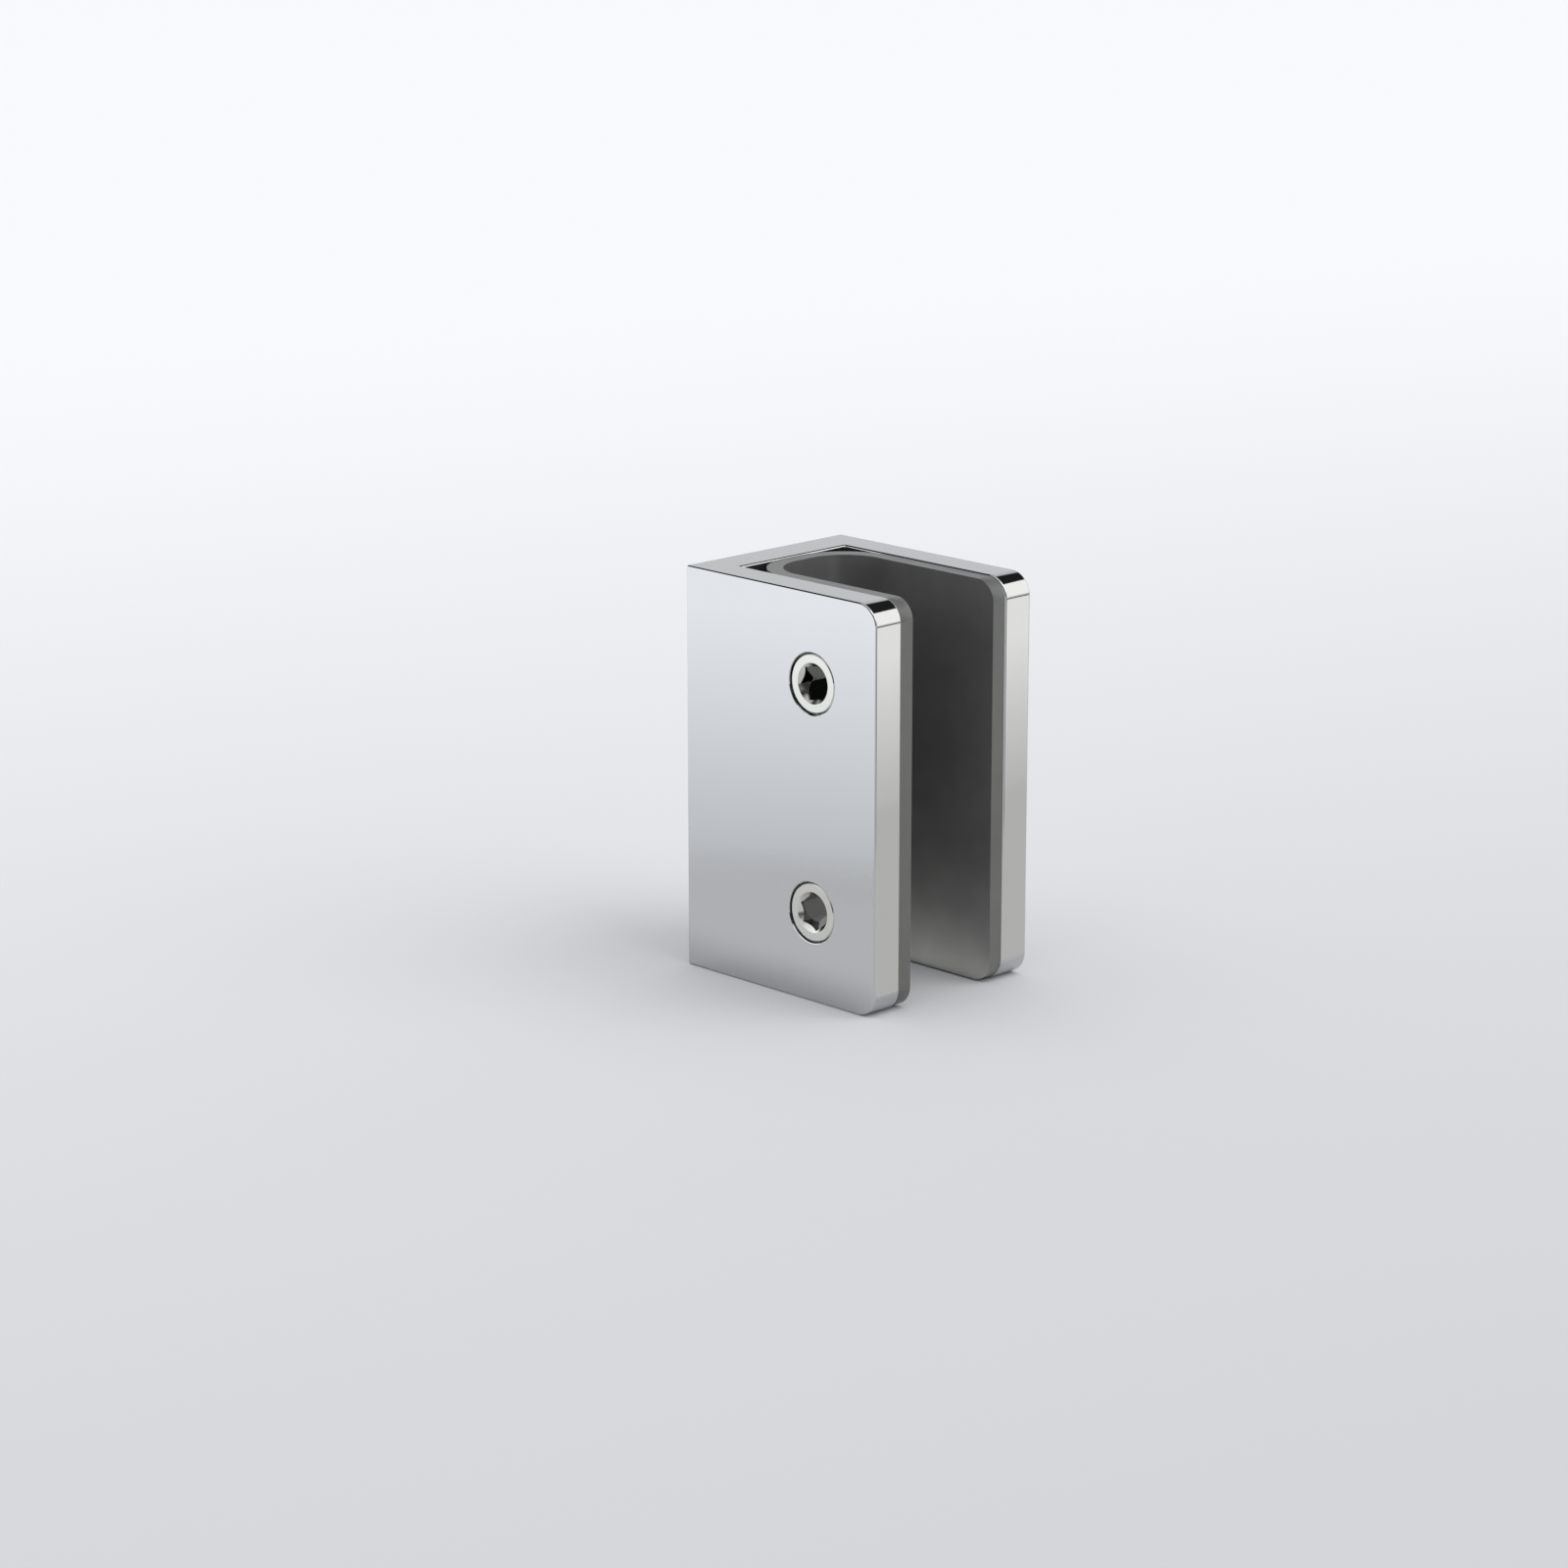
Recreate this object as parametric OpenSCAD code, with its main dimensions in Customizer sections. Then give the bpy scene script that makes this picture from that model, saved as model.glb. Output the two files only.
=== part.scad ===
// Glass U-bracket: a chromed metal U that is screwed to a wall and grips the
// upright edge of a fixed glass panel. A soft U-shaped liner sits between the
// cheeks, and set screws in the front cheek press it against the glass.
// The origin is the middle of the wall face: X runs from the wall into the room
// along the glass, Y across the glass towards the rear cheek, and Z upwards.

/* [Body] */
// Height along the edge of the glass
body_h = 50; // [44:1:80]
// Depth from the wall face to the open end
body_w = 32; // [30:0.5:45]
// Clear width between the metal cheeks
slot_w = 17.7; // [16.5:0.1:22]
// Thickness of each cheek
cheek_t = 4.3; // [3.5:0.1:6]
// Thickness of the web against the wall
web_t = 5; // [4:0.1:8]
// Radius of the rounded corners at the open end of the cheeks
corner_r = 2.8; // [1:0.1:5]

/* [Liner] */
// Thickness of the soft liner
liner_t = 2; // [1:0.1:2.5]
// Outer radius of the liner where it bends from the web to a cheek
liner_bend_r = 7.5; // [4:0.1:8]
// How far the liner stops short of the metal at the top, bottom and open end
liner_recess = 0.15; // [0.05:0.05:1]

/* [Clamp screws] */
// Diameter of the screws, at the middle of their thread
screw_d = 7.2; // [6:0.1:8]
// Running clearance between a screw and its hole, on the radius
screw_gap = 0.05; // [0.02:0.01:0.1]
// Distance from the top and the bottom of the body to the axes of the screws
screw_edge = 11; // [8:0.5:15]
// Distance from the open end of the cheek to the axes of the screws
screw_inset = 10.5; // [8:0.5:14]
// Depth of the screw face below the face of the cheek
screw_recess = 0.15; // [0.05:0.05:0.6]
// Clearance between the tip of a screw and the liner
screw_tip_gap = 0.3; // [0.2:0.05:0.6]
// Chamfer on both ends of a screw
screw_chamfer = 0.15; // [0.1:0.05:0.4]
// Chamfer around the mouth of a screw hole
mouth_chamfer = 0.25; // [0.1:0.05:0.4]
// Width of the hexagonal socket across its flats
socket_af = 4; // [3:0.5:4]
// Diameter of the turned rim around the socket
socket_rim_d = 5; // [4.8:0.1:5.4]
// Metal left between the bottom of the socket and the tip of the screw
socket_floor = 1.4; // [1:0.1:1.8]
// Angle of the socket in the upper screw
upper_turn = 10; // [0:1:59]
// Angle of the socket in the lower screw
lower_turn = 40; // [0:1:59]

/* [Wall screws] */
// Diameter of the holes for the wall screws
wall_hole_d = 5.5; // [4:0.1:6]
// Diameter of the countersinks for their heads
wall_sink_d = 10.5; // [9:0.1:11]
// Distance from the top and the bottom of the body to the axes of the wall holes
wall_hole_edge = 11; // [8:0.5:15]
// Clearance between a countersink and the hole in the liner, on the radius
liner_hole_gap = 0.4; // [0.2:0.1:0.6]

/* [Hidden] */

// Smoothness of round shapes
round_fn = 96;
// Overshoot that lets a cut run cleanly past a face
past = 1;

body_t = slot_w + 2 * cheek_t;
front_y = -body_t / 2;
screw_x = body_w - screw_inset;
screw_len = cheek_t - screw_recess - screw_tip_gap;
socket_depth = screw_len - socket_floor;
socket_r = socket_af / 2 / cos(30);
hole_r = screw_d / 2 + screw_gap;
// The bend is as wide as the slot at most
bend_r = min(liner_bend_r, slot_w / 2);
// A right-angled countersink is as deep as it is wider than its hole
sink_depth = (wall_sink_d - wall_hole_d) / 2;

// Outline of a cheek seen from the side, in X and Z, shrunk by inset at its free edges
module side_outline(inset) {
    reach = body_w - inset;
    half = body_h / 2 - inset;
    r = corner_r - min(inset, corner_r / 2);
    translate([0, -half])
        square([reach - r, 2 * half]);
    translate([0, r - half])
        square([reach, 2 * (half - r)]);
    for (side = [-1, 1])
        translate([reach - r, side * (half - r)])
            circle(r = r, $fn = round_fn);
}

// The side outline as a block across the whole slot and both cheeks
module side_block(inset) {
    rotate([90, 0, 0])
        linear_extrude(height = body_t + 2 * past, center = true)
            side_outline(inset);
}

// Filled U seen from above: it starts at X = from, with corners of radius r there
module u_fill(from, width, r) {
    translate([from + r, -width / 2])
        square([body_w + past - from - r, width]);
    if (width > 2 * r)
        translate([from, r - width / 2])
            square([2 * r, width - 2 * r]);
    for (side = [-1, 1])
        translate([from + r, side * (width / 2 - r)])
            circle(r = r, $fn = round_fn);
}

// Places a shape drawn along +Z from its outer end on the axis of a clamp screw
module at_clamp_screw(side) {
    translate([screw_x, front_y, side * (body_h / 2 - screw_edge)])
        rotate([-90, 0, 0])
            children();
}

// Places a shape drawn along +Z from the wall face on the axis of a wall hole
module at_wall_hole(side) {
    translate([0, 0, side * (body_h / 2 - wall_hole_edge)])
        rotate([0, 90, 0])
            children();
}

// Tapped hole in the front cheek, with a chamfered mouth
module clamp_hole() {
    translate([0, 0, -past])
        cylinder(h = cheek_t + 2 * past, r = hole_r, $fn = round_fn);
    translate([0, 0, -mouth_chamfer])
        cylinder(h = 2 * mouth_chamfer, r1 = hole_r + 2 * mouth_chamfer, r2 = hole_r, $fn = round_fn);
}

// Countersunk hole through the web
module wall_hole() {
    translate([0, 0, -past])
        cylinder(h = web_t + 2 * past, d = wall_hole_d, $fn = round_fn);
    translate([0, 0, web_t - sink_depth])
        cylinder(h = sink_depth, d1 = wall_hole_d, d2 = wall_sink_d, $fn = round_fn);
    translate([0, 0, web_t])
        cylinder(h = past, d = wall_sink_d, $fn = round_fn);
}

// One metal U with square corners inside, rounded at the free corners of its cheeks
module u_body() {
    color("lightsteelblue")
        difference() {
            intersection() {
                translate([0, 0, -body_h / 2])
                    linear_extrude(height = body_h)
                        difference() {
                            translate([0, -body_t / 2])
                                square([body_w, body_t]);
                            translate([web_t, -slot_w / 2])
                                square([body_w - web_t + past, slot_w]);
                        }
                side_block(0);
            }
            for (side = [-1, 1]) {
                at_clamp_screw(side)
                    clamp_hole();
                at_wall_hole(side)
                    wall_hole();
            }
        }
}

// One soft strip bent to a U, open over the heads of the wall screws
module liner() {
    color("dimgray")
        difference() {
            intersection() {
                linear_extrude(height = body_h + 2 * past, center = true)
                    difference() {
                        u_fill(web_t, slot_w, bend_r);
                        u_fill(web_t + liner_t, slot_w - 2 * liner_t, bend_r - liner_t);
                    }
                side_block(liner_recess);
            }
            for (side = [-1, 1])
                at_wall_hole(side)
                    cylinder(h = body_w + past, r = wall_sink_d / 2 + liner_hole_gap, $fn = round_fn);
        }
}

// One set screw, drawn along +Z from its socket end to its tip
module clamp_screw(turn) {
    screw_r = screw_d / 2;
    rim_depth = (socket_rim_d - socket_af) / 2;
    difference() {
        translate([0, 0, screw_recess])
            rotate_extrude($fn = round_fn)
                polygon([
                    [0, 0],
                    [screw_r - screw_chamfer, 0],
                    [screw_r, screw_chamfer],
                    [screw_r, screw_len - screw_chamfer],
                    [screw_r - screw_chamfer, screw_len],
                    [0, screw_len]
                ]);
        translate([0, 0, screw_recess - past])
            rotate(turn)
                linear_extrude(height = socket_depth + past)
                    circle(r = socket_r, $fn = 6);
        translate([0, 0, screw_recess])
            cylinder(h = rim_depth, d1 = socket_rim_d, d2 = socket_af, $fn = round_fn);
    }
}

module clamp_screw_upper() {
    color("silver")
        at_clamp_screw(1)
            clamp_screw(upper_turn);
}

module clamp_screw_lower() {
    color("silver")
        at_clamp_screw(-1)
            clamp_screw(lower_turn);
}

u_body();
liner();
clamp_screw_upper();
clamp_screw_lower();
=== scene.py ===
from math import cos, pi, radians, sin, tan

import bmesh
import bpy
from mathutils import Matrix, Vector


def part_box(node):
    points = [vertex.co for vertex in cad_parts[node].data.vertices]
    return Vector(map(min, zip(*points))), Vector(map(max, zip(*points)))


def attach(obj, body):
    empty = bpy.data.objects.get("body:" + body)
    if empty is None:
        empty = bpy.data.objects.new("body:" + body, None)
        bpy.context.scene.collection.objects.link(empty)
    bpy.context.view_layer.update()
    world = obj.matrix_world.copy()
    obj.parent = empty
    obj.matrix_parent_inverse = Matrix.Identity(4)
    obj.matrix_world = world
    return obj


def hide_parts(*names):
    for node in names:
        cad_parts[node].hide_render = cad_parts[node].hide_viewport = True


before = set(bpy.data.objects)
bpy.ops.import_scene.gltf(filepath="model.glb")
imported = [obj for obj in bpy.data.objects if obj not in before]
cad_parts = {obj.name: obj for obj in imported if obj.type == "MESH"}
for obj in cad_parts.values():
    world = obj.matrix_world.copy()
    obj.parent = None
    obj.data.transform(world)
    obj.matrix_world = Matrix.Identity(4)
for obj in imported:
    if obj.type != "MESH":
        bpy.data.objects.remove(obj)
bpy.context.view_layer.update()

# The metal U. A brass bar, milled or extruded to a U and cut to length, with the free corners of its
# cheeks rounded. It is buffed before it is chrome-plated, so every edge is a little soft. Two tapped
# holes in the front cheek take the clamp screws, and two countersunk holes in the web the wall screws.
MM = 0.001
body_low, body_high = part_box("u_body")
liner_low, liner_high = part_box("liner")
body_corner_r = 2.8 * MM
body_edge_r = 0.27 * MM
wall_hole_r = 2.75 * MM
wall_sink_r = 5.25 * MM
wall_hole_z = 14 * MM
clamp_hole_r = 3.65 * MM
mouth_r = 3.78 * MM
mouth_depth = 0.5 * MM
mouth_chamfer = 0.08 * MM
chrome_hex = "#C4C5C6"
polish_wave = 9 * MM
polish_grain = 0.35 * MM


def linear(code, alpha=1.0):
    """A colour written as sRGB hex, as the linear values that Blender works in."""
    parts = [int(code[i:i + 2], 16) / 255 for i in (1, 3, 5)]
    return [c / 12.92 if c <= 0.04045 else ((c + 0.055) / 1.055) ** 2.4 for c in parts] + [alpha]


def add(tree, kind, settings=None, sockets=None):
    """A node with its settings, and with a value or a link for each socket named."""
    node = tree.nodes.new(kind)
    for key, value in (settings or {}).items():
        setattr(node, key, value)
    for key, value in (sockets or {}).items():
        if isinstance(value, bpy.types.NodeSocket):
            tree.links.new(value, node.inputs[key])
        else:
            node.inputs[key].default_value = value
    return node


def new_material(name):
    """An empty node material, its tree and its output node."""
    material = bpy.data.materials.new(name)
    material.use_nodes = True
    material.node_tree.nodes.clear()
    return material, material.node_tree, add(material.node_tree, "ShaderNodeOutputMaterial")


def arc(centre, radius, start, end, steps):
    """Points along a round stretch, with its angles in degrees."""
    turns = [radians(start + (end - start) * i / steps) for i in range(steps + 1)]
    return [(centre[0] + radius * cos(t), centre[1] + radius * sin(t)) for t in turns]


def to_object(name, shape):
    """Turns a bmesh into a linked object at the origin, with its faces outward."""
    bmesh.ops.recalc_face_normals(shape, faces=shape.faces)
    mesh = bpy.data.meshes.new(name)
    shape.to_mesh(mesh)
    shape.free()
    made = bpy.data.objects.new(name, mesh)
    bpy.context.scene.collection.objects.link(made)
    return made


def block(name, outline, along, low, high):
    """A solid with a flat outline, stretched along Y or Z from low to high."""
    shape = bmesh.new()
    rings = []
    for level in (low, high):
        spots = [(a, b, level) if along == "Z" else (a, level, b) for a, b in outline]
        rings.append([shape.verts.new(spot) for spot in spots])
    shape.faces.new(rings[0])
    shape.faces.new(rings[1])
    for i in range(len(outline)):
        shape.faces.new((rings[0][i - 1], rings[0][i], rings[1][i], rings[1][i - 1]))
    return to_object(name, shape)


def turned(name, profile, along, centre, steps=128):
    """A solid turned about X or Y through the centre. The profile gives (place, radius) pairs."""
    shape = bmesh.new()
    rings = []
    for place, radius in profile:
        ring = []
        for i in range(steps):
            turn = 2 * pi * i / steps
            side, up = radius * cos(turn), radius * sin(turn)
            offset = (place, side, up) if along == "X" else (side, place, up)
            ring.append(shape.verts.new(Vector(centre) + Vector(offset)))
        rings.append(ring)
    shape.faces.new(rings[0])
    shape.faces.new(rings[-1])
    for near, far in zip(rings, rings[1:]):
        for i in range(steps):
            shape.faces.new((near[i - 1], near[i], far[i], far[i - 1]))
    return to_object(name, shape)


def baked(piece, name):
    """The piece with its modifiers applied, as a new plain mesh object."""
    graph = bpy.context.evaluated_depsgraph_get()
    mesh = bpy.data.meshes.new_from_object(piece.evaluated_get(graph))
    mesh.name = name
    made = bpy.data.objects.new(name, mesh)
    bpy.context.scene.collection.objects.link(made)
    bpy.data.objects.remove(piece)
    made.name = name
    return made


def carved(piece, tool, operation):
    """The piece after one exact boolean with the tool, which is used up."""
    name = piece.name
    cut = piece.modifiers.new("cut", "BOOLEAN")
    cut.solver = "EXACT"
    cut.operation = operation
    cut.object = tool
    made = baked(piece, name)
    bpy.data.objects.remove(tool)
    return made


def tidied(piece, flat_degrees=0.4):
    """Joins loose points and the flat faces that a boolean splits."""
    shape = bmesh.new()
    shape.from_mesh(piece.data)
    bmesh.ops.remove_doubles(shape, verts=shape.verts, dist=0.0005 * MM)
    bmesh.ops.dissolve_limit(
        shape, angle_limit=radians(flat_degrees), verts=shape.verts, edges=shape.edges
    )
    shape.to_mesh(piece.data)
    shape.free()
    return piece


def softened(piece, width, segments=4, limit=40):
    """Rounds the sharp edges of a piece, and leaves its flat faces flat."""
    name = piece.name
    bevel = piece.modifiers.new("edge", "BEVEL")
    bevel.width = width
    bevel.segments = segments
    bevel.limit_method = "ANGLE"
    bevel.angle_limit = radians(limit)
    bevel.use_clamp_overlap = True
    return baked(piece, name)


def shaded(piece, sharp_degrees=32):
    """Smooth shading that keeps edges above the angle sharp and flat faces flat."""
    name = piece.name
    for face in piece.data.polygons:
        face.use_smooth = True
    piece.data.set_sharp_from_angle(angle=radians(sharp_degrees))
    weigh = piece.modifiers.new("weigh", "WEIGHTED_NORMAL")
    weigh.keep_sharp = True
    weigh.weight = 100
    return baked(piece, name)


def side_outline(reach, top, radius, back):
    """A cheek seen from the side: square at the wall, rounded at both free corners."""
    low = arc((reach - radius, radius - top), radius, -90, 0, 24)
    high = arc((reach - radius, top - radius), radius, 0, 90, 24)
    return [(back, -top)] + low + high + [(back, top)]


slot_half = liner_high.y
web_x = liner_low.x
over = 4 * MM
u_outline = [
    (body_low.x, body_low.y),
    (body_high.x + over, body_low.y),
    (body_high.x + over, -slot_half),
    (web_x, -slot_half),
    (web_x, slot_half),
    (body_high.x + over, slot_half),
    (body_high.x + over, body_high.y),
    (body_low.x, body_high.y),
]
body = block("u_body_chromed", u_outline, "Z", body_low.z - over, body_high.z + over)
body_side = side_outline(body_high.x, body_high.z, body_corner_r, body_low.x - over)
body = carved(body, block("side", body_side, "Y", body_low.y - over, body_high.y + over), "INTERSECT")
body = softened(tidied(body), body_edge_r)
screw_spots = [sum(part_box(node), Vector()) / 2 for node in ("clamp_screw_upper", "clamp_screw_lower")]
for spot in screw_spots:
    mouth = [
        (-over, mouth_r + mouth_chamfer + over),
        (mouth_chamfer, mouth_r),
        (mouth_depth, mouth_r),
        (mouth_depth + mouth_r - clamp_hole_r, clamp_hole_r),
        (-body_low.y - slot_half + over, clamp_hole_r),
    ]
    hole = turned("clamp_hole", mouth, "Y", (spot.x, body_low.y, spot.z))
    body = carved(body, hole, "DIFFERENCE")
for side in (-1, 1):
    sink = [
        (-over, wall_hole_r),
        (web_x - (wall_sink_r - wall_hole_r), wall_hole_r),
        (web_x, wall_sink_r),
        (web_x + over, wall_sink_r),
    ]
    hole = turned("wall_hole", sink, "X", (body_low.x, 0, side * wall_hole_z))
    body = carved(body, hole, "DIFFERENCE")
body = shaded(body)

# Mirror-polished bright chrome: cool and clear, with only the long soft waves that buffing leaves and
# a trace of fine polishing grain. The grain is drawn coarser than it is so that it can show.
chrome, nodes, out = new_material("polished_chrome_plate")
place = add(nodes, "ShaderNodeTexCoord")
grain = add(nodes, "ShaderNodeTexNoise", sockets={
    "Vector": place.outputs["Object"], "Scale": 1 / polish_grain, "Detail": 3.0, "Roughness": 0.6})
gloss = add(nodes, "ShaderNodeMapRange", sockets={
    "Value": grain.outputs["Fac"], "From Min": 0.3, "From Max": 0.7, "To Min": 0.03, "To Max": 0.07})
wave = add(nodes, "ShaderNodeTexNoise", sockets={
    "Vector": place.outputs["Object"], "Scale": 1 / polish_wave, "Detail": 1.0})
swell = add(nodes, "ShaderNodeBump", sockets={
    "Height": wave.outputs["Fac"], "Strength": 0.05, "Distance": 0.1 * MM})
plate = add(nodes, "ShaderNodeBsdfPrincipled", sockets={
    "Base Color": linear(chrome_hex), "Metallic": 1.0,
    "Roughness": gloss.outputs["Result"], "Normal": swell.outputs["Normal"]})
nodes.links.new(plate.outputs["BSDF"], out.inputs["Surface"])
body.data.materials.clear()
body.data.materials.append(chrome)
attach(body, "bracket")
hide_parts("u_body")

# The liner. One strip of dark grey PVC, 2 mm thick, bent to a U and pushed into the slot. Its bends
# are rounder than the metal's corners, so a dark gap is left behind each of them. It is open over the
# heads of the wall screws.
liner_t = 2 * MM
liner_bend_r = 7.5 * MM
liner_recess = 0.15 * MM
liner_hole_r = wall_sink_r + 0.4 * MM
liner_edge_r = 0.2 * MM
liner_hex = "#5B5B5A"
liner_grain = 0.25 * MM
liner_mottle = 5 * MM


def socket_of(tree, name):
    """The identifier of a named input, which is what a modifier is set by."""
    return next(item.identifier for item in tree.interface.items_tree if item.name == name)


def shape_tree(name, sizes):
    """An empty Geometry Nodes tree with named inputs for its sizes."""
    tree = bpy.data.node_groups.new(name, "GeometryNodeTree")
    for size, value in sizes.items():
        tree.interface.new_socket(size, in_out="INPUT", socket_type="NodeSocketFloat").default_value = value
    tree.interface.new_socket("Surface", in_out="INPUT", socket_type="NodeSocketMaterial")
    tree.interface.new_socket("Geometry", in_out="OUTPUT", socket_type="NodeSocketGeometry")
    return tree, add(tree, "NodeGroupInput"), add(tree, "NodeGroupOutput")


def grown(name, tree, values):
    """A plain mesh object made by a Geometry Nodes tree with these values."""
    holder = bpy.data.objects.new(name, bpy.data.meshes.new(name))
    bpy.context.scene.collection.objects.link(holder)
    grow = holder.modifiers.new("grow", "NODES")
    grow.node_group = tree
    for key, value in values.items():
        grow[socket_of(tree, key)] = value
    return baked(holder, name)


# Soft satin PVC: dark neutral grey with a faint mottle and a fine moulded grain. It scatters a wide soft
# sheen at a low angle, so the edge that faces up looks much lighter than the faces in the slot.
pvc, nodes, out = new_material("satin_grey_pvc")
place = add(nodes, "ShaderNodeTexCoord")
mottle = add(nodes, "ShaderNodeTexNoise", sockets={
    "Vector": place.outputs["Object"], "Scale": 1 / liner_mottle, "Detail": 4.0, "Roughness": 0.55})
tint = add(nodes, "ShaderNodeMapRange", sockets={
    "Value": mottle.outputs["Fac"], "From Min": 0.3, "From Max": 0.7, "To Min": 0.92, "To Max": 1.08})
colour = add(nodes, "ShaderNodeMix", {"data_type": "RGBA", "blend_type": "MULTIPLY"}, {
    "Factor": 1.0, 6: linear(liner_hex), 7: tint.outputs["Result"]})
grain = add(nodes, "ShaderNodeTexNoise", sockets={
    "Vector": place.outputs["Object"], "Scale": 1 / liner_grain, "Detail": 2.0})
pebble = add(nodes, "ShaderNodeBump", sockets={
    "Height": grain.outputs["Fac"], "Strength": 0.25, "Distance": 0.02 * MM})
satin = add(nodes, "ShaderNodeMapRange", sockets={
    "Value": mottle.outputs["Fac"], "From Min": 0.3, "From Max": 0.7, "To Min": 0.3, "To Max": 0.38})
rubbery = add(nodes, "ShaderNodeBsdfPrincipled", sockets={
    "Base Color": colour.outputs[2], "Roughness": satin.outputs["Result"],
    "IOR": 1.53, "Normal": pebble.outputs["Normal"]})
nodes.links.new(rubbery.outputs["BSDF"], out.inputs["Surface"])

# The strip follows a U-shaped path with a filleted bend at each corner, and is swept with a flat profile.
strip_tree, given, result = shape_tree("bent_strip", {
    "Back": 0.0, "Front": 0.0, "Half Width": 0.0, "Bend Radius": 0.0, "Thickness": 0.0, "Height": 0.0})
size = given.outputs
line = add(strip_tree, "GeometryNodeMeshLine", {"mode": "OFFSET"}, {"Count": 4})
index = add(strip_tree, "GeometryNodeInputIndex")
at_web = add(strip_tree, "ShaderNodeMath", {"operation": "PINGPONG"}, {0: index.outputs[0], 1: 1.5})
is_web = add(strip_tree, "ShaderNodeMath", {"operation": "GREATER_THAN"}, {0: at_web.outputs[0], 1: 0.75})
reach = add(strip_tree, "ShaderNodeMix", {"data_type": "FLOAT"}, {
    0: is_web.outputs[0], 2: size["Front"], 3: size["Back"]})
rear = add(strip_tree, "ShaderNodeMath", {"operation": "GREATER_THAN"}, {0: index.outputs[0], 1: 1.5})
sign = add(strip_tree, "ShaderNodeMapRange", sockets={"Value": rear.outputs[0], "To Min": -1.0, "To Max": 1.0})
across = add(strip_tree, "ShaderNodeMath", {"operation": "MULTIPLY"}, {
    0: sign.outputs["Result"], 1: size["Half Width"]})
corner = add(strip_tree, "ShaderNodeCombineXYZ", sockets={0: reach.outputs[0], 1: across.outputs[0]})
placed = add(strip_tree, "GeometryNodeSetPosition", sockets={
    "Geometry": line.outputs["Mesh"], "Position": corner.outputs["Vector"]})
path = add(strip_tree, "GeometryNodeMeshToCurve", sockets={"Mesh": placed.outputs["Geometry"]})
bent = add(strip_tree, "GeometryNodeFilletCurve", sockets={
    "Curve": path.outputs["Curve"], "Radius": size["Bend Radius"], "Limit Radius": True})
if "Mode" in bent.inputs:
    bent.inputs["Mode"].default_value = "Poly"
    bent.inputs["Count"].default_value = 40
else:
    bent.mode = "POLY"
    bent.inputs["Count"].default_value = 40
profile = add(strip_tree, "GeometryNodeCurvePrimitiveQuadrilateral", {"mode": "RECTANGLE"}, {
    "Width": size["Thickness"], "Height": size["Height"]})
swept = add(strip_tree, "GeometryNodeCurveToMesh", sockets={
    "Curve": bent.outputs["Curve"], "Profile Curve": profile.outputs["Curve"], "Fill Caps": True})
whole = add(strip_tree, "GeometryNodeRealizeInstances", sockets={"Geometry": swept.outputs["Mesh"]})
coated = add(strip_tree, "GeometryNodeSetMaterial", sockets={
    "Geometry": whole.outputs["Geometry"], "Material": size["Surface"]})
strip_tree.links.new(coated.outputs["Geometry"], result.inputs["Geometry"])
liner = grown("liner_strip", strip_tree, {
    "Back": liner_low.x + liner_t / 2,
    "Front": liner_high.x + over,
    "Half Width": slot_half - liner_t / 2,
    "Bend Radius": liner_bend_r - liner_t / 2,
    "Thickness": liner_t,
    "Height": liner_high.z - liner_low.z + 2 * over,
    "Surface": pvc,
})
liner_side = side_outline(liner_high.x, liner_high.z, body_corner_r - liner_recess, body_low.x - over)
liner = carved(liner, block("side", liner_side, "Y", body_low.y - over, body_high.y + over), "INTERSECT")
for side in (-1, 1):
    clear = [(-over, liner_hole_r), (body_high.x + over, liner_hole_r)]
    hole = turned("liner_hole", clear, "X", (body_low.x, 0, side * wall_hole_z))
    liner = carved(liner, hole, "DIFFERENCE")
liner = shaded(softened(tidied(liner), liner_edge_r, 3))
liner.data.materials.clear()
liner.data.materials.append(pvc)
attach(liner, "bracket")
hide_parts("liner")

# The clamp screws. M8 stainless set screws, turned from bar: a faced end with a chamfered hexagon
# socket, a rolled thread and a flat tip. Each is screwed into the front cheek until it is flush.
screw_low, screw_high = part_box("clamp_screw_upper")
screw_r = (screw_high.x - screw_low.x) / 2
screw_len = screw_high.y - screw_low.y
screw_chamfer = 0.15 * MM
thread_pitch = 1.25 * MM
thread_depth = 0.35 * MM
socket_af = 4 * MM
socket_rim_r = 2.5 * MM
socket_floor = 1.4 * MM
socket_turns = {"clamp_screw_upper": 10, "clamp_screw_lower": 40}
screw_hex = "#D1D0CB"
# The socket's colour is darker than the faced end: painted shade in the recess.
socket_shade_hex = "#A3A3A1"
turning_pitch = 0.09 * MM

# Faced stainless steel: brighter and softer than the chrome around it, because fine rings left by the
# facing tool spread its reflections. The rings are drawn coarser than they are so that they can show.
# The broached walls of the socket are smoother, and their colour is painted darker, as shade in the recess.
steel, nodes, out = new_material("turned_stainless_steel")
place = add(nodes, "ShaderNodeTexCoord")
spot = add(nodes, "ShaderNodeSeparateXYZ", sockets={0: place.outputs["Object"]})
side_x = add(nodes, "ShaderNodeMath", {"operation": "SUBTRACT"}, {0: spot.outputs["X"], 1: screw_spots[0].x})
height = add(nodes, "ShaderNodeMath", {"operation": "ABSOLUTE"}, {0: spot.outputs["Z"]})
side_z = add(nodes, "ShaderNodeMath", {"operation": "SUBTRACT"}, {0: height.outputs[0], 1: screw_spots[0].z})
plane = add(nodes, "ShaderNodeCombineXYZ", sockets={0: side_x.outputs[0], 1: side_z.outputs[0]})
radius = add(nodes, "ShaderNodeVectorMath", {"operation": "LENGTH"}, {0: plane.outputs[0]})
ring = add(nodes, "ShaderNodeMath", {"operation": "MULTIPLY"}, {
    0: radius.outputs["Value"], 1: 2 * pi / turning_pitch})
groove = add(nodes, "ShaderNodeMath", {"operation": "SINE"}, {0: ring.outputs[0]})
depth = add(nodes, "ShaderNodeMath", {"operation": "SUBTRACT"}, {0: spot.outputs["Y"], 1: screw_low.y})
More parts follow.
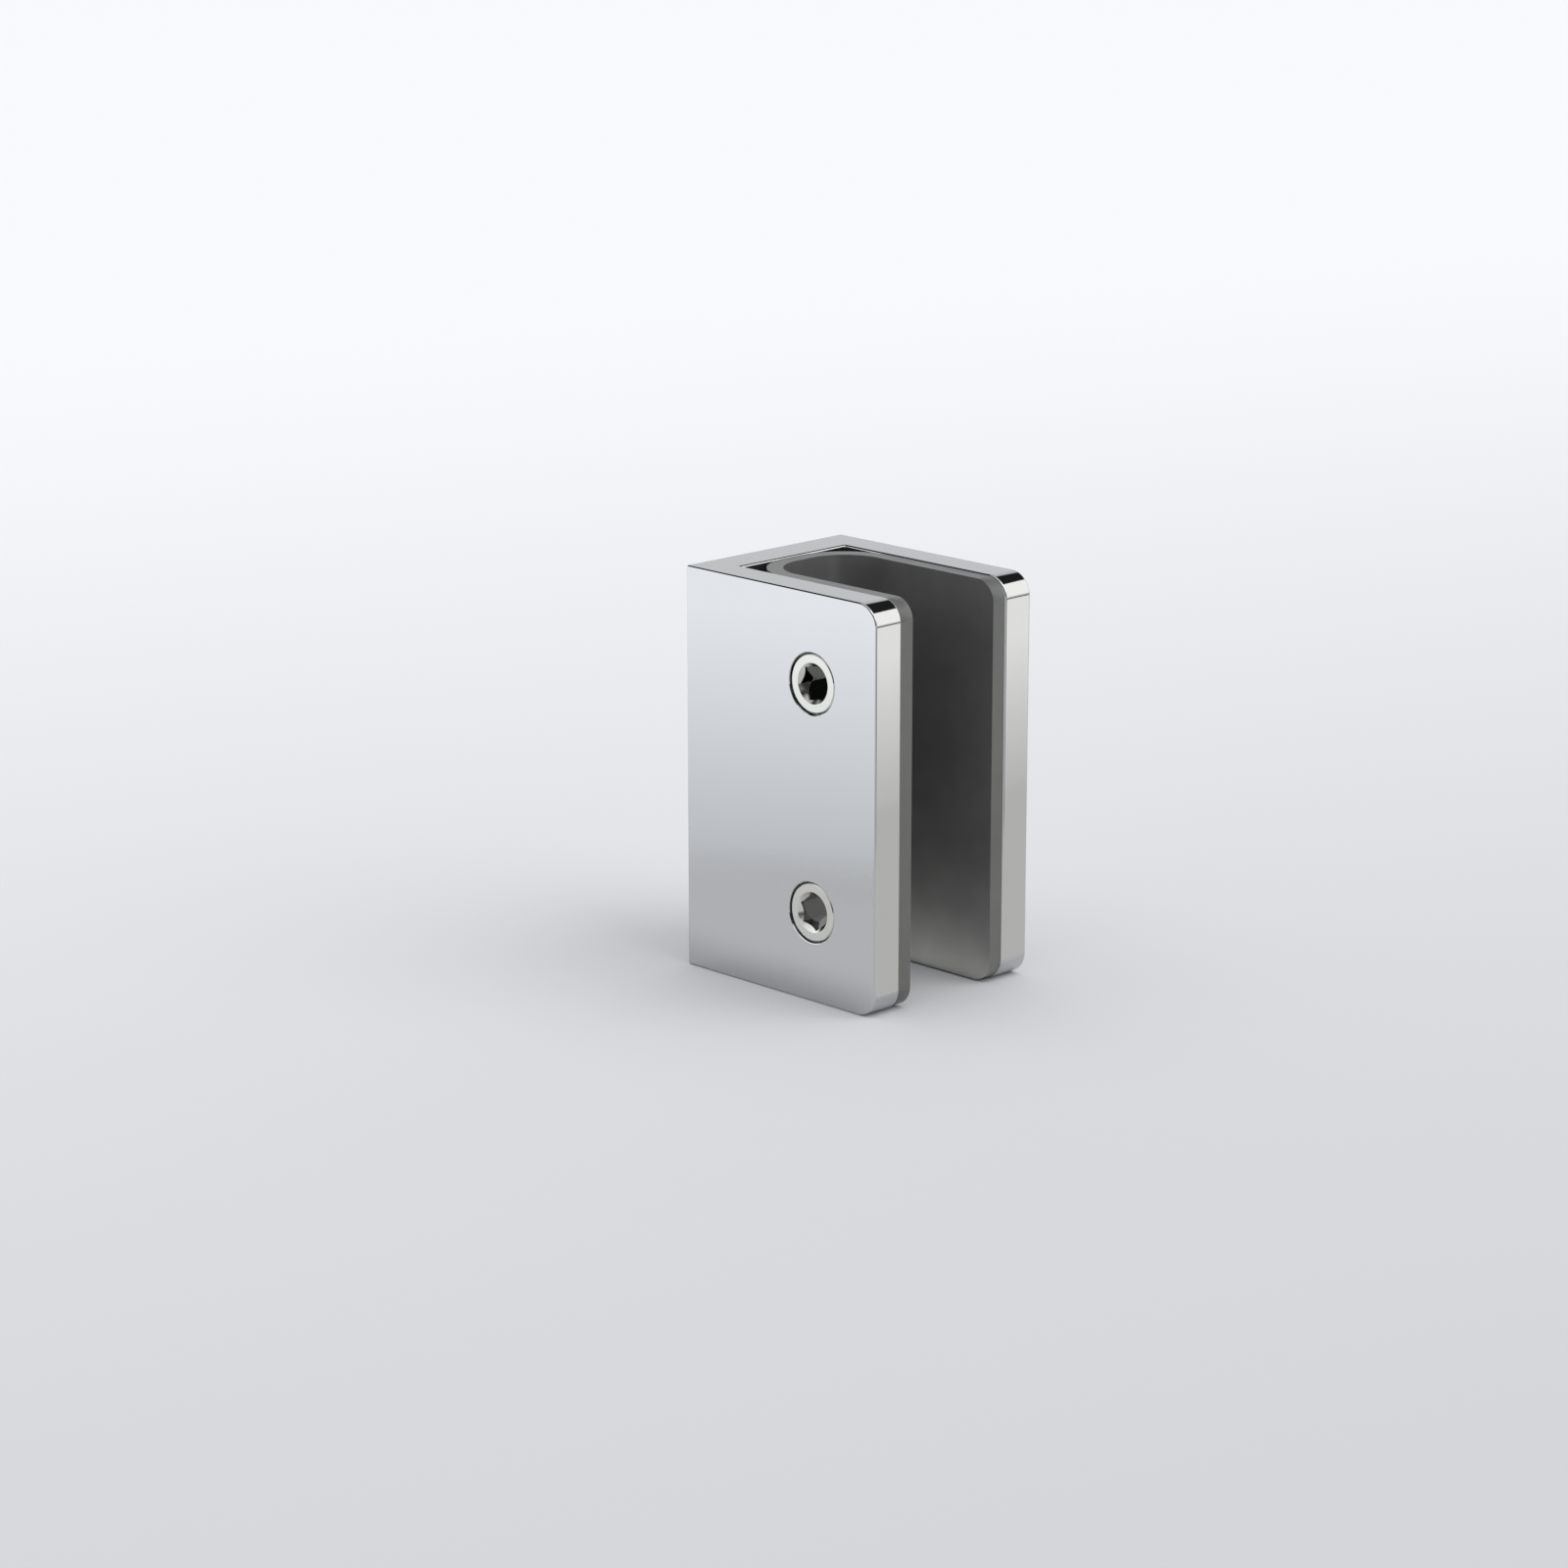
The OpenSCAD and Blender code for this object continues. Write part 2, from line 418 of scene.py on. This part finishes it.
past_rim = add(nodes, "ShaderNodeMath", {"operation": "ADD"}, {
    0: depth.outputs[0], 1: radius.outputs["Value"]})
below = add(nodes, "ShaderNodeMath", {"operation": "GREATER_THAN"}, {
    0: past_rim.outputs[0], 1: socket_rim_r + 0.02 * MM})
within = add(nodes, "ShaderNodeMath", {"operation": "LESS_THAN"}, {
    0: radius.outputs["Value"], 1: socket_rim_r - 0.1 * MM})
inside = add(nodes, "ShaderNodeMath", {"operation": "MULTIPLY"}, {0: below.outputs[0], 1: within.outputs[0]})
outside = add(nodes, "ShaderNodeMath", {"operation": "SUBTRACT"}, {0: 1.0, 1: inside.outputs[0]})
faced = add(nodes, "ShaderNodeMath", {"operation": "MULTIPLY"}, {0: groove.outputs[0], 1: outside.outputs[0]})
facing = add(nodes, "ShaderNodeBump", sockets={
    "Height": faced.outputs[0], "Strength": 0.3, "Distance": 0.004 * MM})
colour = add(nodes, "ShaderNodeMix", {"data_type": "RGBA"}, {
    "Factor": inside.outputs[0], 6: linear(screw_hex), 7: linear(socket_shade_hex)})
gloss = add(nodes, "ShaderNodeMapRange", sockets={
    "Value": inside.outputs[0], "To Min": 0.17, "To Max": 0.04})
metal = add(nodes, "ShaderNodeBsdfPrincipled", sockets={
    "Base Color": colour.outputs[2], "Metallic": 1.0,
    "Roughness": gloss.outputs["Result"], "Normal": facing.outputs["Normal"]})
nodes.links.new(metal.outputs["BSDF"], out.inputs["Surface"])

# The screw is a fine tube whose radius follows the helix of the thread and the chamfers at both ends.
# A hexagonal socket with a coned rim is cut into its outer end.
screw_tree, given, result = shape_tree("set_screw", {
    "Radius": 0.0, "Length": 0.0, "Chamfer": 0.0, "Pitch": 0.0, "Thread Depth": 0.0,
    "Socket Width": 0.0, "Socket Depth": 0.0, "Rim Radius": 0.0, "Turn": 0.0})
size = given.outputs


def sum_of(operation, first, second=None, third=None):
    """The output of one Math node in the screw's tree."""
    values = {i: v for i, v in enumerate((first, second, third)) if v is not None}
    return add(screw_tree, "ShaderNodeMath", {"operation": operation}, values).outputs[0]


tube = add(screw_tree, "GeometryNodeMeshCylinder", {"fill_type": "NGON"}, {
    "Vertices": 144, "Side Segments": 96, "Radius": size["Radius"], "Depth": size["Length"]})
spot = add(screw_tree, "GeometryNodeInputPosition")
parts = add(screw_tree, "ShaderNodeSeparateXYZ", sockets={0: spot.outputs[0]})
angle = sum_of("DIVIDE", sum_of("ARCTAN2", parts.outputs["Y"], parts.outputs["X"]), 2 * pi)
phase = sum_of("FRACT", sum_of("SUBTRACT", sum_of("DIVIDE", parts.outputs["Z"], size["Pitch"]), angle))
valley = sum_of("ABSOLUTE", sum_of("MULTIPLY_ADD", phase, 2.0, -1.0))
thread_r = sum_of("SUBTRACT", size["Radius"], sum_of("MULTIPLY", valley, size["Thread Depth"]))
half = sum_of("MULTIPLY", size["Length"], 0.5)
from_end = sum_of("SUBTRACT", half, sum_of("ABSOLUTE", parts.outputs["Z"]))
face_r = sum_of("SUBTRACT", size["Radius"], size["Chamfer"])
chamfer_r = sum_of("ADD", face_r, from_end)
collar = sum_of("LESS_THAN", from_end, sum_of("MULTIPLY", size["Chamfer"], 3.0))
plain_r = sum_of("MULTIPLY", collar, size["Radius"])
new_r = sum_of("MINIMUM", chamfer_r, sum_of("MAXIMUM", thread_r, plain_r))
scale = sum_of("DIVIDE", new_r, size["Radius"])
wide = add(screw_tree, "ShaderNodeCombineXYZ", sockets={0: scale, 1: scale, 2: 1.0})
moved = add(screw_tree, "ShaderNodeVectorMath", {"operation": "MULTIPLY"}, {
    0: spot.outputs[0], 1: wide.outputs[0]})
threaded = add(screw_tree, "GeometryNodeSetPosition", sockets={
    "Geometry": tube.outputs["Mesh"], "Position": moved.outputs[0]})
hexagon = add(screw_tree, "GeometryNodeMeshCylinder", {"fill_type": "NGON"}, {
    "Vertices": 6,
    "Radius": sum_of("DIVIDE", size["Socket Width"], 2 * cos(radians(30))),
    "Depth": sum_of("MULTIPLY", size["Socket Depth"], 2.0)})
raised = add(screw_tree, "ShaderNodeCombineXYZ", sockets={2: half})
turned_by = add(screw_tree, "ShaderNodeCombineXYZ", sockets={2: size["Turn"]})
socket = add(screw_tree, "GeometryNodeTransform", sockets={
    "Geometry": hexagon.outputs["Mesh"], "Translation": raised.outputs[0], "Rotation": turned_by.outputs[0]})
rim_depth = sum_of("SUBTRACT", size["Rim Radius"], sum_of("MULTIPLY", size["Socket Width"], 0.5))
cone = add(screw_tree, "GeometryNodeMeshCone", {"fill_type": "NGON"}, {
    "Vertices": 96,
    "Radius Top": sum_of("ADD", size["Rim Radius"], rim_depth),
    "Radius Bottom": sum_of("MULTIPLY", size["Socket Width"], 0.5),
    "Depth": sum_of("MULTIPLY", rim_depth, 2.0)})
cone_place = add(screw_tree, "ShaderNodeCombineXYZ", sockets={2: sum_of("SUBTRACT", half, rim_depth)})
rim = add(screw_tree, "GeometryNodeTransform", sockets={
    "Geometry": cone.outputs["Mesh"], "Translation": cone_place.outputs[0]})
cut = add(screw_tree, "GeometryNodeMeshBoolean", {"operation": "DIFFERENCE", "solver": "EXACT"}, {
    "Mesh 1": threaded.outputs["Geometry"]})
screw_tree.links.new(socket.outputs["Geometry"], cut.inputs["Mesh 2"])
screw_tree.links.new(rim.outputs["Geometry"], cut.inputs["Mesh 2"])
whole = add(screw_tree, "GeometryNodeRealizeInstances", sockets={"Geometry": cut.outputs["Mesh"]})
coated = add(screw_tree, "GeometryNodeSetMaterial", sockets={
    "Geometry": whole.outputs["Geometry"], "Material": size["Surface"]})
screw_tree.links.new(coated.outputs["Geometry"], result.inputs["Geometry"])
for spot, (node, turn) in zip(screw_spots, socket_turns.items()):
    screw = grown(node + "_steel", screw_tree, {
        "Radius": screw_r,
        "Length": screw_len,
        "Chamfer": screw_chamfer,
        "Pitch": thread_pitch,
        "Thread Depth": thread_depth,
        "Socket Width": socket_af,
        "Socket Depth": screw_len - socket_floor,
        "Rim Radius": socket_rim_r,
        "Turn": radians(turn),
        "Surface": steel,
    })
    screw.data.transform(Matrix.Translation(spot) @ Matrix.Rotation(radians(90), 4, "X"))
    screw = shaded(screw, 30)
    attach(screw, node.replace("clamp_screw_", "") + "_screw")
    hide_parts(node)

# The studio. The bracket stands on a pale floor that runs out of sight on every side, under one
# broad soft lamp. The floor's colour is painted darker round the bracket and out to its right, as painted
# shade. Polished metal shows what stands around it, so light panels stand in front and to its right, and
# dim grey flags between and behind them draw the edges. Cards on the floor, seen only in reflections, paint
# a brighter floor and a painted shadow under its foot, and one more lights the slot from below. The camera
# sees none of these.
floor_far_hex = "#E8E9EB"
floor_shade_hex = "#C3C4C6"
floor_reach = 8.0
floor, nodes, out = new_material("pale_studio_floor")
# The floor's colour is painted darker in a broad band round the bracket and out to its right: painted shade,
# which the chrome shows low on its faces.
place = add(nodes, "ShaderNodeTexCoord")
away = add(nodes, "ShaderNodeVectorMath", {"operation": "DOT_PRODUCT"}, {
    0: place.outputs["Object"], 1: (-1.0, 0.33, 0.0)})
from_dark = add(nodes, "ShaderNodeMath", {"operation": "ADD"}, {0: away.outputs["Value"], 1: 0.35})
either_way = add(nodes, "ShaderNodeMath", {"operation": "ABSOLUTE"}, {0: from_dark.outputs[0]})
shift = add(nodes, "ShaderNodeMapRange", {"interpolation_type": "SMOOTHSTEP"}, {
    "Value": either_way.outputs[0], "From Min": 0.0, "From Max": 0.85})
base = add(nodes, "ShaderNodeMix", {"data_type": "RGBA"}, {
    "Factor": shift.outputs["Result"], 6: linear(floor_shade_hex), 7: linear(floor_far_hex)})
matt = add(nodes, "ShaderNodeBsdfDiffuse", sockets={"Color": base.outputs[2]})
nodes.links.new(matt.outputs["BSDF"], out.inputs["Surface"])
shape = bmesh.new()
bmesh.ops.create_grid(shape, x_segments=1, y_segments=1, size=floor_reach)
bmesh.ops.translate(shape, verts=shape.verts, vec=(0, 0, body_low.z))
ground = to_object("studio_floor", shape)
ground.data.materials.append(floor)


def standing_panel(name, centre, facing, width, low, high, feather, rim, tint, foot_light, full_light,
                   full_height, curve=1.0):
    """An upright panel with soft edges that only shows in reflections. It brightens from its foot up."""
    toward = Vector((cos(radians(facing)), sin(radians(facing)), 0))
    across = Vector((-toward.y, toward.x, 0))
    middle = Vector((centre[0], centre[1], 0))
    glow, nodes, out = new_material(name)
    place = add(nodes, "ShaderNodeTexCoord")
    spot = add(nodes, "ShaderNodeSeparateXYZ", sockets={0: place.outputs["Object"]})
    climb = add(nodes, "ShaderNodeMapRange", sockets={
        "Value": spot.outputs["Z"], "From Min": body_low.z, "From Max": body_low.z + full_height})
    bend = add(nodes, "ShaderNodeMath", {"operation": "POWER"}, {0: climb.outputs["Result"], 1: curve})
    level = add(nodes, "ShaderNodeMapRange", sockets={
        "Value": bend.outputs[0], "To Min": foot_light, "To Max": full_light})
    shine = add(nodes, "ShaderNodeEmission", sockets={
        "Color": linear(tint), "Strength": level.outputs["Result"]})
    offset = add(nodes, "ShaderNodeVectorMath", {"operation": "SUBTRACT"}, {
        0: place.outputs["Object"], 1: middle})
    sideways = add(nodes, "ShaderNodeVectorMath", {"operation": "DOT_PRODUCT"}, {
        0: offset.outputs["Vector"], 1: across})
    spread = add(nodes, "ShaderNodeMath", {"operation": "ABSOLUTE"}, {0: sideways.outputs["Value"]})
    ends = add(nodes, "ShaderNodeMapRange", {"interpolation_type": "SMOOTHSTEP"}, {
        "Value": spread.outputs[0], "From Min": width / 2 - feather, "From Max": width / 2,
        "To Min": 1.0, "To Max": 0.0})
    half = (high - low) / 2
    level_off = add(nodes, "ShaderNodeMath", {"operation": "SUBTRACT"}, {
        0: spot.outputs["Z"], 1: body_low.z + low + half})
    upright = add(nodes, "ShaderNodeMath", {"operation": "ABSOLUTE"}, {0: level_off.outputs[0]})
    edges = add(nodes, "ShaderNodeMapRange", {"interpolation_type": "SMOOTHSTEP"}, {
        "Value": upright.outputs[0], "From Min": half - rim, "From Max": half,
        "To Min": 1.0, "To Max": 0.0})
    cover = add(nodes, "ShaderNodeMath", {"operation": "MULTIPLY"}, {
        0: ends.outputs["Result"], 1: edges.outputs["Result"]})
    clear = add(nodes, "ShaderNodeBsdfTransparent")
    both = add(nodes, "ShaderNodeMixShader", sockets={
        0: cover.outputs[0], 1: clear.outputs["BSDF"], 2: shine.outputs["Emission"]})
    nodes.links.new(both.outputs["Shader"], out.inputs["Surface"])
    foot = middle + Vector((0, 0, body_low.z + low))
    head = middle + Vector((0, 0, body_low.z + high))
    reach = across * width / 2
    shape = bmesh.new()
    corners = [foot - reach, foot + reach, head + reach, head - reach]
    shape.faces.new([shape.verts.new(corner) for corner in corners])
    panel = to_object(name, shape)
    panel.data.materials.append(glow)
    panel.visible_camera = False
    panel.visible_diffuse = False
    panel.visible_shadow = False


standing_panel("front_panel", (-0.0065, -0.0452), 240, 0.19, 0.0, 0.075, 0.02, 0.008,
               "#F8FBFF", 0.82, 1.45, 0.038)
standing_panel("right_panel", (0.092, 0.067), 10, 0.08, 0.0, 0.036, 0.01, 0.003,
               "#FFFEFB", 0.80, 1.30, 0.023, 1.25)
standing_panel("right_edge", (0.093, 0.067), 10, 0.08, 0.035, 0.040, 0.01, 0.001,
               "#606060", 1.0, 1.0, 0.1)
standing_panel("tall_panel", (0.488, 1.096), 66, 1.20, 0.03, 1.06, 0.05, 0.04,
               "#FFFEFB", 1.50, 1.50, 0.1)
standing_panel("right_flag", (0.092, 0.010), 0, 0.034, 0.0, 0.07, 0.006, 0.006,
               "#606163", 1.0, 1.0, 0.1)
standing_panel("left_flag", (-0.125, -0.010), 182, 0.18, 0.0, 0.07, 0.06, 0.025,
               "#6E6F72", 1.0, 1.0, 0.1)
standing_panel("rear_flag", (-0.035, 0.120), 105, 0.18, 0.0, 0.07, 0.06, 0.025,
               "#6E6F72", 1.0, 1.0, 0.1)


def floor_card(name, low, high, lift, feather, tint, light, mirrored):
    """A card with soft edges that lies on the floor, and shows only in reflections or only as light.
    Its underside is clear, so that none of its light falls on the floor."""
    glow, nodes, out = new_material(name)
    place = add(nodes, "ShaderNodeTexCoord")
    spot = add(nodes, "ShaderNodeSeparateXYZ", sockets={0: place.outputs["Object"]})
    facing = add(nodes, "ShaderNodeNewGeometry")
    cover = add(nodes, "ShaderNodeMath", {"operation": "SUBTRACT"}, {
        0: 1.0, 1: facing.outputs["Backfacing"]}).outputs[0]
    for side in (0, 1):
        half = (high[side] - low[side]) / 2
        from_middle = add(nodes, "ShaderNodeMath", {"operation": "SUBTRACT"}, {
            0: spot.outputs[side], 1: low[side] + half})
        spread = add(nodes, "ShaderNodeMath", {"operation": "ABSOLUTE"}, {0: from_middle.outputs[0]})
        edge = add(nodes, "ShaderNodeMapRange", {"interpolation_type": "SMOOTHSTEP"}, {
            "Value": spread.outputs[0], "From Min": half - feather, "From Max": half,
            "To Min": 1.0, "To Max": 0.0})
        cover = add(nodes, "ShaderNodeMath", {"operation": "MULTIPLY"}, {
            0: cover, 1: edge.outputs["Result"]}).outputs[0]
    shine = add(nodes, "ShaderNodeEmission", sockets={"Color": linear(tint), "Strength": light})
    clear = add(nodes, "ShaderNodeBsdfTransparent")
    both = add(nodes, "ShaderNodeMixShader", sockets={
        0: cover, 1: clear.outputs["BSDF"], 2: shine.outputs["Emission"]})
    nodes.links.new(both.outputs["Shader"], out.inputs["Surface"])
    level = body_low.z + lift
    shape = bmesh.new()
    corners = [(low[0], low[1]), (high[0], low[1]), (high[0], high[1]), (low[0], high[1])]
    shape.faces.new([shape.verts.new((x, y, level)) for x, y in corners])
    card = to_object(name, shape)
    card.data.materials.append(glow)
    card.visible_camera = False
    card.visible_diffuse = not mirrored
    card.visible_glossy = mirrored
    card.visible_shadow = False


# The front and warm cards paint a brighter floor that the metal shows in reflection. The foot card is a
# painted shadow under the foot, seen only in reflection. The slot card is an unseen glow that lights the slot
# from below.
floor_card("front_reflection_card", (-0.070, -0.056), (0.042, -0.0136), 0.04 * MM, 0.014, "#DCDDDF", 1.06, True)
floor_card("warm_reflection_card", (0.034, -0.012), (0.112, 0.095), 0.04 * MM, 0.005, "#DFDEDA", 1.03, True)
floor_card("foot_shadow_card", (0.028, -0.0125), (0.0375, 0.0152), 0.06 * MM, 0.0015, "#8C8A86", 1.0, True)
floor_card("slot_card", (0.003, -0.001), (0.036, 0.0068), 0.05 * MM, 0.001, "#FFFFFF", 4.0, False)


def broad_lamp(name, strength, spread, toward, mirrored):
    """A distant lamp as wide as its spread in degrees, which lights the whole floor evenly."""
    data = bpy.data.lights.new(name, "SUN")
    data.energy = strength
    data.angle = radians(spread)
    lamp = bpy.data.objects.new(name, data)
    lamp.rotation_euler = Vector(toward).to_track_quat("Z", "Y").to_euler()
    lamp.visible_glossy = mirrored
    bpy.context.scene.collection.objects.link(lamp)


broad_lamp("broad_soft_lamp", 0.9, 50, (0.6, 0.25, 0.76), True)
broad_lamp("ceiling_bounce", 1.4, 150, (0, 0, 1), False)

# The room around them is pale, and as light as the floor where the two meet. Overhead is a dark ring
# round a wide soft light, a little lower in front than behind. It is dim where the camera stands.
room_foot_hex = "#FBFBFC"
room_pale_hex = "#E1E2E4"
room_dark_hex = "#262627"
room_dim_hex = "#48494B"
world = bpy.data.worlds.new("studio")
world.use_nodes = True
nodes = world.node_tree
nodes.nodes.clear()
way = add(nodes, "ShaderNodeTexCoord")
axes = add(nodes, "ShaderNodeSeparateXYZ", sockets={0: way.outputs["Generated"]})
lean = add(nodes, "ShaderNodeMath", {"operation": "MULTIPLY"}, {0: axes.outputs["Y"], 1: -0.08})
rise = add(nodes, "ShaderNodeMath", {"operation": "ADD"}, {0: axes.outputs["Z"], 1: lean.outputs[0]})
roof = add(nodes, "ShaderNodeMapRange", {"interpolation_type": "SMOOTHSTEP"}, {
    "Value": rise.outputs[0], "From Min": 0.47, "From Max": 0.56})
lamp = add(nodes, "ShaderNodeMapRange", {"interpolation_type": "SMOOTHSTEP"}, {
    "Value": axes.outputs["Z"], "From Min": 0.74, "From Max": 0.80, "To Min": 1.0, "To Max": 0.0})
dark = add(nodes, "ShaderNodeMath", {"operation": "MULTIPLY"}, {
    0: roof.outputs["Result"], 1: lamp.outputs["Result"]})
front = add(nodes, "ShaderNodeVectorMath", {"operation": "DOT_PRODUCT"}, {
    0: way.outputs["Generated"], 1: (0.69, -0.68, 0.25)})
behind = add(nodes, "ShaderNodeMapRange", {"interpolation_type": "SMOOTHSTEP"}, {
    "Value": front.outputs["Value"], "From Min": 0.88, "From Max": 0.96})
low_wall = add(nodes, "ShaderNodeMapRange", {"interpolation_type": "SMOOTHSTEP"}, {
    "Value": axes.outputs["Z"], "From Min": 0.04, "From Max": 0.18})
walls = add(nodes, "ShaderNodeMix", {"data_type": "RGBA"}, {
    "Factor": low_wall.outputs["Result"], 6: linear(room_foot_hex), 7: linear(room_pale_hex)})
ringed = add(nodes, "ShaderNodeMix", {"data_type": "RGBA"}, {
    "Factor": dark.outputs[0], 6: walls.outputs[2], 7: linear(room_dark_hex)})
room = add(nodes, "ShaderNodeMix", {"data_type": "RGBA", "blend_type": "DARKEN"}, {
    "Factor": behind.outputs["Result"], 6: ringed.outputs[2], 7: linear(room_dim_hex)})
air = add(nodes, "ShaderNodeBackground", sockets={"Color": room.outputs[2], "Strength": 1.0})
sky = add(nodes, "ShaderNodeOutputWorld", sockets={"Surface": air.outputs["Background"]})
bpy.context.scene.world = world

# The camera. It stands where the photograph was taken from: to the right of the screws and a little
# above, with a long lens, and aimed past the left of the bracket as the photograph is framed.
view_yaw = 45.63
view_rise = 14.73
view_distance = 565.8 * MM
view_aim = Vector((10.9, -7.35, -1.21)) * MM
lens = 107.6
camera_data = bpy.data.cameras.new("camera")
camera_data.lens = lens
camera_data.sensor_width = 36
camera_data.clip_start = 0.01
camera = bpy.data.objects.new("camera", camera_data)
yaw, rise = radians(view_yaw), radians(view_rise)
backward = Vector((sin(yaw) * cos(rise), -cos(yaw) * cos(rise), sin(rise)))
camera.location = view_aim + view_distance * backward
camera.rotation_euler = backward.to_track_quat("Z", "Y").to_euler()
bpy.context.scene.collection.objects.link(camera)
bpy.context.scene.camera = camera
bpy.context.scene.view_settings.view_transform = "Standard"
